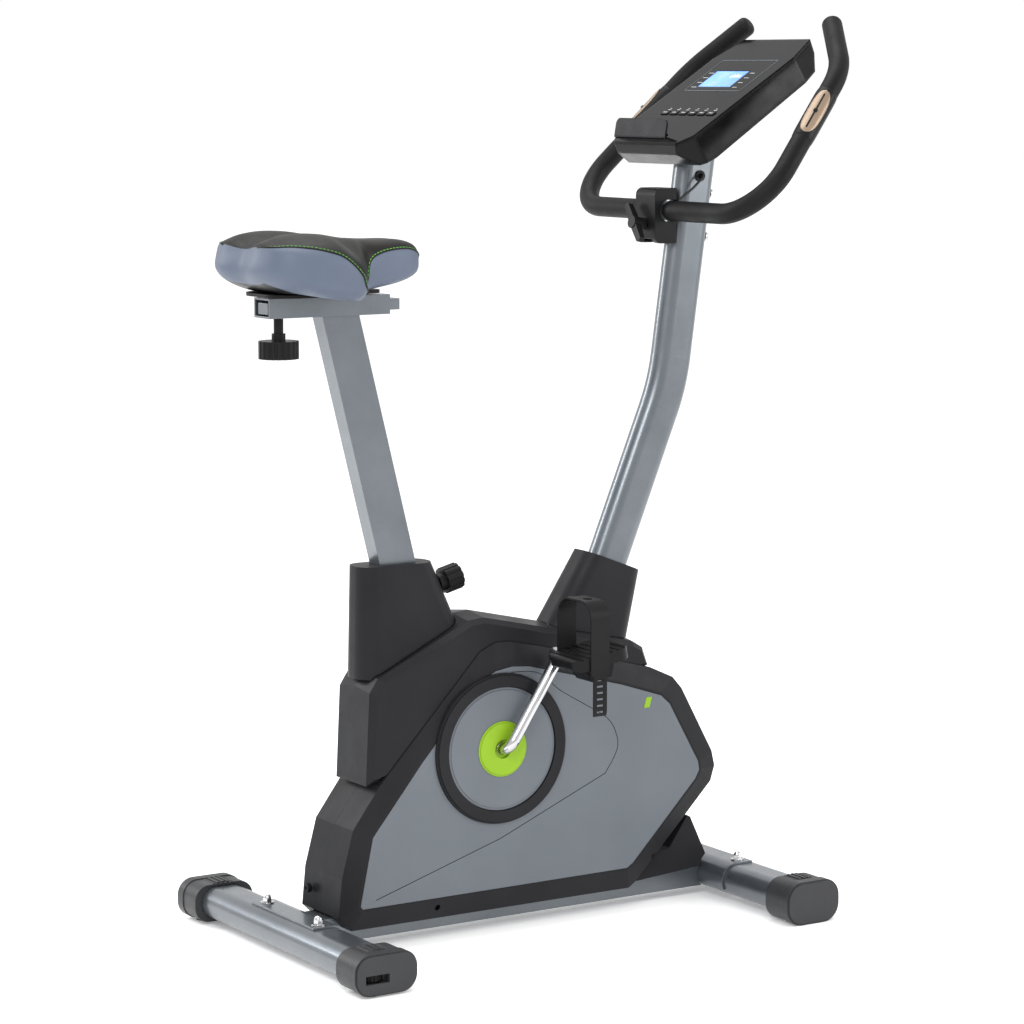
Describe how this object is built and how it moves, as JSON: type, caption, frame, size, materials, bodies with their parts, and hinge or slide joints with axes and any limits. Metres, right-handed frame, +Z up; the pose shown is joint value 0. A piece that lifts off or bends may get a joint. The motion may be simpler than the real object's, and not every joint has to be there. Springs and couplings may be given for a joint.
{
  "type": "exercise bike",
  "caption": "Upright exercise bike with enclosed flywheel drive, one-piece crank, strapped pedals, sliding seat post, tilting handlebar and a console on a mast.",
  "frame": {"origin": "centre of the bounding box's footprint, on the floor", "axes": "+X forward towards the handlebar, +Y to the rider's left, +Z up"},
  "size_m": [1.0348, 0.576, 1.4333],
  "materials": {
    "frame_paint": "satin",
    "zinc": "satin",
    "crank_chrome": "polished",
    "flywheel_iron": "machined",
    "shell_dark": "fine grain",
    "panel_grey": "fine grain",
    "black_plastic": "satin",
    "console_gloss": "gloss",
    "green_plastic": "gloss",
    "lcd": "lit",
    "foam": "closed cell foam",
    "belt_rubber": "ribbed",
    "sensor": "satin",
    "saddle_cover": "vinyl",
    "wheel_rubber": "satin"
  },
  "bodies": {
    "frame": {"base_rail": "frame_paint", "saddle_brackets": "frame_paint", "frame_uprights": "frame_paint", "rear_stabilizer": "frame_paint", "front_stabilizer": "frame_paint", "rear_caps": "shell_dark", "front_caps": "shell_dark", "frame_bolts": "crank_chrome", "shell_left": "shell_dark", "shell_right": "shell_dark", "shoulders": "shell_dark", "side_panels": "panel_grey", "disc_rings": "shell_dark", "seat_boot": "shell_dark", "mast_boot": "shell_dark", "dc_inlet": "black_plastic", "shell_screws": "black_plastic", "mast": "frame_paint", "clamp_cover": "black_plastic", "cable_grommet": "black_plastic", "pulse_cable": "belt_rubber", "console_base": "black_plastic", "console_face": "console_gloss", "display": "lcd", "tablet_ledge": "black_plastic", "drive_carriers": "zinc", "servo": "black_plastic", "drive_belt": "belt_rubber"},
    "flywheel": {"flywheel": "flywheel_iron"},
    "magnet_arm": {"magnet_arm": "zinc"},
    "idler_wheel": {"idler_wheel": "black_plastic"},
    "crank": {"crank": "crank_chrome", "drive_pulley": "black_plastic", "crank_discs": "panel_grey", "crank_hubs": "green_plastic", "pedal_spindles": "zinc"},
    "pedal_left": {"pedal_left": "black_plastic", "strap_left": "black_plastic"},
    "pedal_right": {"pedal_right": "black_plastic", "strap_right": "black_plastic"},
    "seat_post": {"seat_post": "frame_paint"},
    "pull_knob": {"pull_knob": "black_plastic"},
    "seat_carriage": {"seat_slider": "zinc", "saddle_pan": "black_plastic", "saddle": "saddle_cover"},
    "seat_knob": {"seat_knob": "black_plastic"},
    "handlebar": {"handlebar": "frame_paint", "foam_grips": "foam", "pulse_sensors": "sensor"},
    "bar_knob": {"bar_knob": "black_plastic"},
    "key_1": {"key_1": "black_plastic"},
    "key_2": {"key_2": "black_plastic"},
    "key_3": {"key_3": "black_plastic"},
    "key_4": {"key_4": "black_plastic"},
    "key_5": {"key_5": "black_plastic"},
    "key_6": {"key_6": "black_plastic"},
    "wheel_left": {"wheel_left": "wheel_rubber"},
    "wheel_right": {"wheel_right": "wheel_rubber"},
    "dial_left": {"dial_left": "black_plastic"},
    "dial_right": {"dial_right": "black_plastic"}
  },
  "joints": [
    {"name": "flywheel_spin", "type": "hinge", "parent": "frame", "child": "flywheel", "pos_m": [0.1803, 0, 0.214], "axis": [0, 1, 0], "continuous": true},
    {"name": "crank_spin", "type": "hinge", "parent": "frame", "child": "crank", "pos_m": [-0.0977, 0, 0.297], "axis": [0, 1, 0], "continuous": true},
    {"name": "idler_spin", "type": "hinge", "parent": "frame", "child": "idler_wheel", "pos_m": [0.07928, 0, 0.17511], "axis": [0, 1, 0], "continuous": true},
    {"name": "magnet_arm_swing", "type": "hinge", "parent": "frame", "child": "magnet_arm", "pos_m": [0.08331, 0, 0.27], "axis": [0, -1, 0], "range_deg": [0, 8]},
    {"name": "pedal_left_spin", "type": "hinge", "parent": "crank", "child": "pedal_left", "pos_m": [-0.19178, 0.157, 0.1554], "axis": [0, 1, 0], "continuous": true},
    {"name": "pedal_right_spin", "type": "hinge", "parent": "crank", "child": "pedal_right", "pos_m": [-0.00362, -0.157, 0.4386], "axis": [0, 1, 0], "continuous": true},
    {"name": "seat_post_slide", "type": "slide", "parent": "frame", "child": "seat_post", "axis": [-0.2453, 0, 0.9694], "range_m": [-0.2, 0.05]},
    {"name": "pull_knob_slide", "type": "slide", "parent": "frame", "child": "pull_knob", "axis": [0.9694, 0, 0.2453], "range_m": [0, 0.012], "stiffness_N_per_m": 1500},
    {"name": "saddle_slide", "type": "slide", "parent": "seat_post", "child": "seat_carriage", "axis": [1, 0, 0], "range_m": [-0.04, 0.04]},
    {"name": "seat_knob_turn", "type": "hinge", "parent": "seat_post", "child": "seat_knob", "pos_m": [-0.4477, 0, 0.93], "axis": [0, 0, 1], "range_deg": [0, 360]},
    {"name": "handlebar_tilt", "type": "hinge", "parent": "frame", "child": "handlebar", "pos_m": [0.2473, 0, 1.126], "axis": [0, 1, 0], "range_deg": [-15, 20]},
    {"name": "bar_knob_turn", "type": "hinge", "parent": "frame", "child": "bar_knob", "pos_m": [0.2383, 0, 1.1], "axis": [-0.9816, 0, 0.1908], "range_deg": [0, 180]},
    {"name": "key_1_press", "type": "slide", "parent": "frame", "child": "key_1", "axis": [0.5314, 0, -0.8471], "range_m": [0, 0.001], "stiffness_N_per_m": 500},
    {"name": "key_2_press", "type": "slide", "parent": "frame", "child": "key_2", "axis": [0.5314, 0, -0.8471], "range_m": [0, 0.001], "stiffness_N_per_m": 500},
    {"name": "key_3_press", "type": "slide", "parent": "frame", "child": "key_3", "axis": [0.5314, 0, -0.8471], "range_m": [0, 0.001], "stiffness_N_per_m": 500},
    {"name": "key_4_press", "type": "slide", "parent": "frame", "child": "key_4", "axis": [0.5314, 0, -0.8471], "range_m": [0, 0.001], "stiffness_N_per_m": 500},
    {"name": "key_5_press", "type": "slide", "parent": "frame", "child": "key_5", "axis": [0.5314, 0, -0.8471], "range_m": [0, 0.001], "stiffness_N_per_m": 500},
    {"name": "key_6_press", "type": "slide", "parent": "frame", "child": "key_6", "axis": [0.5314, 0, -0.8471], "range_m": [0, 0.001], "stiffness_N_per_m": 500},
    {"name": "wheel_left_spin", "type": "hinge", "parent": "frame", "child": "wheel_left", "pos_m": [0.3943, 0.259, 0.02], "axis": [0, 1, 0], "continuous": true},
    {"name": "wheel_right_spin", "type": "hinge", "parent": "frame", "child": "wheel_right", "pos_m": [0.3943, -0.259, 0.02], "axis": [0, 1, 0], "continuous": true},
    {"name": "dial_left_turn", "type": "hinge", "parent": "frame", "child": "dial_left", "pos_m": [-0.4487, 0.264, 0], "axis": [0, 0, 1], "range_deg": [0, 360]},
    {"name": "dial_right_turn", "type": "hinge", "parent": "frame", "child": "dial_right", "pos_m": [-0.4487, -0.264, 0], "axis": [0, 0, 1], "range_deg": [0, 360]}
  ],
  "couplings": [
    {"joint": "crank_spin", "follows": "flywheel_spin", "ratio": 0.12174},
    {"joint": "idler_spin", "follows": "flywheel_spin", "ratio": -0.93333}
  ]
}
